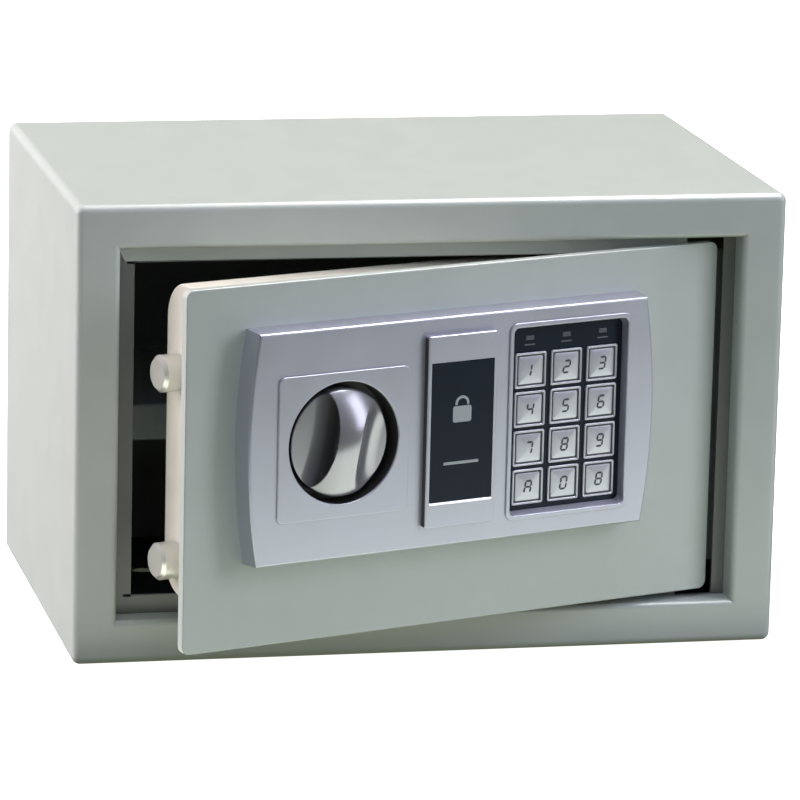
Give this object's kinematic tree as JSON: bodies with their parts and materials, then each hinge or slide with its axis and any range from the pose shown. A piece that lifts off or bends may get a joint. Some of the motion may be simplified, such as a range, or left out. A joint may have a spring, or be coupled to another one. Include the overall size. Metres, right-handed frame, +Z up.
{
  "type": "hotel room safe",
  "caption": "Small hotel room safe: folded steel case, recessed hinged door, turning knob that throws two round bolts, keypad panel, emergency lock cover, inside shelf.",
  "frame": {"origin": "centre of the case's underside, the middle of the floor anchor holes", "axes": "+X along the case's width with the door hinge at +X, +Y from the door towards the back panel, +Z up"},
  "size_m": [0.31, 0.2723, 0.2],
  "materials": {
    "case_paint": "light grey powder coat, fine satin",
    "cream_paint": "cream powder coat",
    "felt": "short-pile felt mat",
    "zinc_steel": "zinc plated",
    "bolt_steel": "bright nickel plate",
    "nylon": "natural nylon",
    "silver_plastic": "silver painted plastic, satin",
    "dark_panel": "near-black smooth panel",
    "emblem_print": "light grey print",
    "key_rubber": "soft silicone sheet",
    "circuit_board": "green solder mask",
    "component_black": "black moulding",
    "smoked_lens": "smoked lens",
    "coil_wrap": "enamelled winding under clear tape",
    "cable_grey": "flat grey cable",
    "wire_red": "red sleeve",
    "brass": "machined brass",
    "battery_wrap": "plain blue cell sleeve",
    "button_red": "red push button"
  },
  "bodies": {
    "case": {"case_shell": "case_paint", "back_panel": "case_paint", "side_channels": "case_paint", "case_hinge_lugs": "case_paint", "shelf": "case_paint", "shelf_rails": "case_paint", "floor_mat": "felt"},
    "door": {"door_plate": "case_paint", "hinge_brackets": "case_paint", "hinge_pins": "zinc_steel", "lock_box": "cream_paint", "box_tabs": "case_paint", "door_screws": "zinc_steel", "nylon_bushes": "nylon", "bolt_guide": "zinc_steel", "solenoid_frame": "zinc_steel", "solenoid_coil": "coil_wrap", "bezel": "silver_plastic", "keypad_overlay": "dark_panel", "key_frames": "silver_plastic", "keypad_mat": "key_rubber", "keypad_pcb": "circuit_board", "led_lenses": "smoked_lens", "override_barrel": "brass", "override_nut": "zinc_steel", "pcb_spacers": "nylon", "main_pcb": "circuit_board", "pcb_parts": "component_black", "ribbon_cable": "cable_grey", "battery_tray": "component_black", "batteries": "battery_wrap", "battery_contacts": "zinc_steel", "wiring": "wire_red"},
    "knob": {"knob": "silver_plastic", "spindle": "zinc_steel", "drive_cam": "zinc_steel", "cam_screw": "zinc_steel"},
    "bolt_carriage": {"bolt_bar": "zinc_steel", "drive_plate": "zinc_steel", "bolts": "bolt_steel", "carriage_screws": "zinc_steel"},
    "plunger": {"plunger": "zinc_steel"},
    "override_plug": {"override_plug": "brass"},
    "emergency_cover": {"emergency_cover": "silver_plastic", "badge": "dark_panel", "badge_emblem": "emblem_print"},
    "battery_cover": {"battery_cover": "component_black"},
    "reset_button": {"reset_button": "button_red"},
    "key_1": {"key_1": "silver_plastic"},
    "key_2": {"key_2": "silver_plastic"},
    "key_3": {"key_3": "silver_plastic"},
    "key_4": {"key_4": "silver_plastic"},
    "key_5": {"key_5": "silver_plastic"},
    "key_6": {"key_6": "silver_plastic"},
    "key_7": {"key_7": "silver_plastic"},
    "key_8": {"key_8": "silver_plastic"},
    "key_9": {"key_9": "silver_plastic"},
    "key_a": {"key_a": "silver_plastic"},
    "key_0": {"key_0": "silver_plastic"},
    "key_b": {"key_b": "silver_plastic"}
  },
  "joints": [
    {"name": "door_hinge", "type": "hinge", "parent": "case", "child": "door", "pos_m": [0.12, -0.0835, 0.1], "axis": [0, 0, 1], "range_deg": [-17.8, 82.2]},
    {"name": "bolt_slide", "type": "slide", "parent": "door", "child": "bolt_carriage", "axis": [-0.9521, -0.3057, 0], "range_m": [0, 0.016]},
    {"name": "knob_turn", "type": "hinge", "parent": "door", "child": "knob", "pos_m": [-0.0545, -0.14845, 0.1094], "axis": [0.3057, -0.9521, 0], "range_deg": [0, 90]},
    {"name": "plunger_slide", "type": "slide", "parent": "door", "child": "plunger", "axis": [-0.3057, 0.9521, 0], "range_m": [0, 0.006]},
    {"name": "override_turn", "type": "hinge", "parent": "door", "child": "override_plug", "pos_m": [-0.00151, -0.13144, 0.11], "axis": [0.3057, -0.9521, 0], "range_deg": [-90, 0]},
    {"name": "cover_release", "type": "slide", "parent": "door", "child": "emergency_cover", "axis": [0.3057, -0.9521, 0], "range_m": [0, 0.02]},
    {"name": "battery_cover_release", "type": "slide", "parent": "door", "child": "battery_cover", "axis": [-0.3057, 0.9521, 0], "range_m": [0, 0.02]},
    {"name": "reset_press", "type": "slide", "parent": "door", "child": "reset_button", "axis": [0.3057, -0.9521, 0], "range_m": [0, 0.0015], "stiffness_N_per_m": 300, "springref_m": -0.001},
    {"name": "key_press_1", "type": "slide", "parent": "door", "child": "key_1", "axis": [-0.3057, 0.9521, 0], "range_m": [0, 0.001], "stiffness_N_per_m": 400, "springref_m": -0.001},
    {"name": "key_press_2", "type": "slide", "parent": "door", "child": "key_2", "axis": [-0.3057, 0.9521, 0], "range_m": [0, 0.001], "stiffness_N_per_m": 400, "springref_m": -0.001},
    {"name": "key_press_3", "type": "slide", "parent": "door", "child": "key_3", "axis": [-0.3057, 0.9521, 0], "range_m": [0, 0.001], "stiffness_N_per_m": 400, "springref_m": -0.001},
    {"name": "key_press_4", "type": "slide", "parent": "door", "child": "key_4", "axis": [-0.3057, 0.9521, 0], "range_m": [0, 0.001], "stiffness_N_per_m": 400, "springref_m": -0.001},
    {"name": "key_press_5", "type": "slide", "parent": "door", "child": "key_5", "axis": [-0.3057, 0.9521, 0], "range_m": [0, 0.001], "stiffness_N_per_m": 400, "springref_m": -0.001},
    {"name": "key_press_6", "type": "slide", "parent": "door", "child": "key_6", "axis": [-0.3057, 0.9521, 0], "range_m": [0, 0.001], "stiffness_N_per_m": 400, "springref_m": -0.001},
    {"name": "key_press_7", "type": "slide", "parent": "door", "child": "key_7", "axis": [-0.3057, 0.9521, 0], "range_m": [0, 0.001], "stiffness_N_per_m": 400, "springref_m": -0.001},
    {"name": "key_press_8", "type": "slide", "parent": "door", "child": "key_8", "axis": [-0.3057, 0.9521, 0], "range_m": [0, 0.001], "stiffness_N_per_m": 400, "springref_m": -0.001},
    {"name": "key_press_9", "type": "slide", "parent": "door", "child": "key_9", "axis": [-0.3057, 0.9521, 0], "range_m": [0, 0.001], "stiffness_N_per_m": 400, "springref_m": -0.001},
    {"name": "key_press_a", "type": "slide", "parent": "door", "child": "key_a", "axis": [-0.3057, 0.9521, 0], "range_m": [0, 0.001], "stiffness_N_per_m": 400, "springref_m": -0.001},
    {"name": "key_press_0", "type": "slide", "parent": "door", "child": "key_0", "axis": [-0.3057, 0.9521, 0], "range_m": [0, 0.001], "stiffness_N_per_m": 400, "springref_m": -0.001},
    {"name": "key_press_b", "type": "slide", "parent": "door", "child": "key_b", "axis": [-0.3057, 0.9521, 0], "range_m": [0, 0.001], "stiffness_N_per_m": 400, "springref_m": -0.001}
  ],
  "couplings": [
    {"joint": "knob_turn", "follows": "bolt_slide", "rad_per_m": 98.17}
  ]
}
